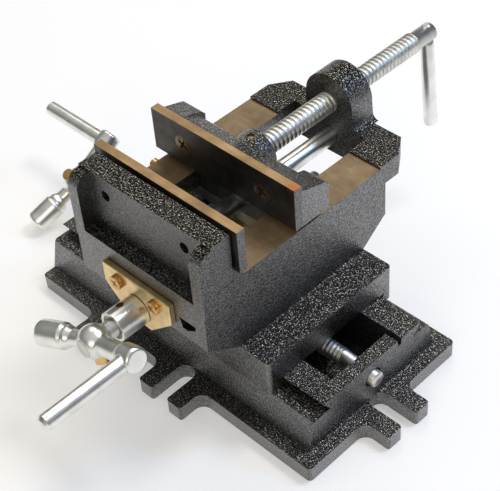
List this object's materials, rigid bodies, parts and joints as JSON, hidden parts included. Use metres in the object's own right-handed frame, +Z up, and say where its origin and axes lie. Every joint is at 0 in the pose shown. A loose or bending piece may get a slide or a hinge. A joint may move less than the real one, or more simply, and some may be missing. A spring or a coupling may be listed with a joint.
{
  "type": "cross slide vise",
  "caption": "Cast iron drill-press vise on crossed dovetail slides, with crank-driven lead screws, a sliding jaw on a clamp screw and slotted hold-down lugs.",
  "frame": {"origin": "centre of the base flange's underside", "axes": "+Z up from the table, X along the base's slide, the jaws close along -Y"},
  "size_m": [0.3115, 0.3106, 0.1294],
  "materials": {
    "painted_iron": "hammer-finish charcoal paint on rough castings",
    "jaw_steel": "ground and darkened jaw plates",
    "brass": "sawn and filed brass",
    "yellow_zinc": "yellow passivated zinc",
    "dark_steel": "blackened screws and pins",
    "bright_steel": "polished and plated",
    "turned_steel": "turned and threaded bright steel"
  },
  "bodies": {
    "base": {"base_casting": "painted_iron", "x_bearing_plate": "brass", "x_plate_screws": "yellow_zinc"},
    "x_screw": {"x_lead_screw": "turned_steel", "x_coupling_sleeve": "bright_steel", "x_sleeve_pin": "dark_steel", "x_crank": "bright_steel", "x_crank_handle": "bright_steel", "x_crank_screw": "yellow_zinc"},
    "saddle": {"saddle_casting": "painted_iron", "x_nut": "brass", "y_nut": "brass", "y_nut_screws": "turned_steel", "saddle_gib": "turned_steel", "saddle_gib_screws": "turned_steel", "saddle_gib_locknuts": "turned_steel"},
    "vise_body": {"vise_bed": "painted_iron", "fixed_jaw_casting": "painted_iron", "fixed_jaw_plate": "jaw_steel", "fixed_plate_screws": "dark_steel", "y_bearing_plate": "brass", "y_plate_screws": "yellow_zinc", "bed_lock_screw": "yellow_zinc", "bed_gib": "turned_steel", "bed_gib_screws": "turned_steel", "bed_gib_locknuts": "turned_steel", "guide_rod": "bright_steel"},
    "y_screw": {"y_lead_screw": "turned_steel", "y_coupling_sleeve": "bright_steel", "y_sleeve_pin": "dark_steel", "y_crank": "bright_steel", "y_crank_handle": "bright_steel", "y_crank_screw": "yellow_zinc"},
    "moving_jaw": {"moving_jaw_casting": "painted_iron", "moving_jaw_plate": "jaw_steel", "moving_plate_screws": "dark_steel", "jaw_keeper_plate": "turned_steel", "jaw_keeper_screws": "dark_steel", "screw_retaining_pin": "dark_steel"},
    "clamp": {"clamp_screw": "turned_steel", "clamp_handle": "bright_steel"}
  },
  "joints": [
    {"name": "x_crank_turn", "type": "hinge", "parent": "base", "child": "x_screw", "pos_m": [-0.12, 0, 0.024], "axis": [1, 0, 0], "range_deg": [-6485, 6125]},
    {"name": "saddle_slide", "type": "slide", "parent": "base", "child": "saddle", "axis": [1, 0, 0], "range_m": [-0.0425, 0.045]},
    {"name": "body_slide", "type": "slide", "parent": "saddle", "child": "vise_body", "axis": [0, 1, 0], "range_m": [-0.035, 0.035]},
    {"name": "y_crank_turn", "type": "hinge", "parent": "vise_body", "child": "y_screw", "pos_m": [0.0037, -0.09, 0.066], "axis": [0, 1, 0], "range_deg": [-5045, 5045]},
    {"name": "jaw_slide", "type": "slide", "parent": "vise_body", "child": "moving_jaw", "axis": [0, 1, 0], "range_m": [-0.033, 0.042]},
    {"name": "clamp_screw_turn", "type": "hinge", "parent": "moving_jaw", "child": "clamp", "pos_m": [0.0037, 0.1, 0.1116], "axis": [0, -1, 0], "range_deg": [-5045, 3965]}
  ],
  "couplings": [
    {"joint": "x_crank_turn", "follows": "saddle_slide", "rad_per_m": -2513.3},
    {"joint": "y_crank_turn", "follows": "body_slide", "rad_per_m": 2513.3},
    {"joint": "clamp_screw_turn", "follows": "jaw_slide", "rad_per_m": -2094.4}
  ]
}
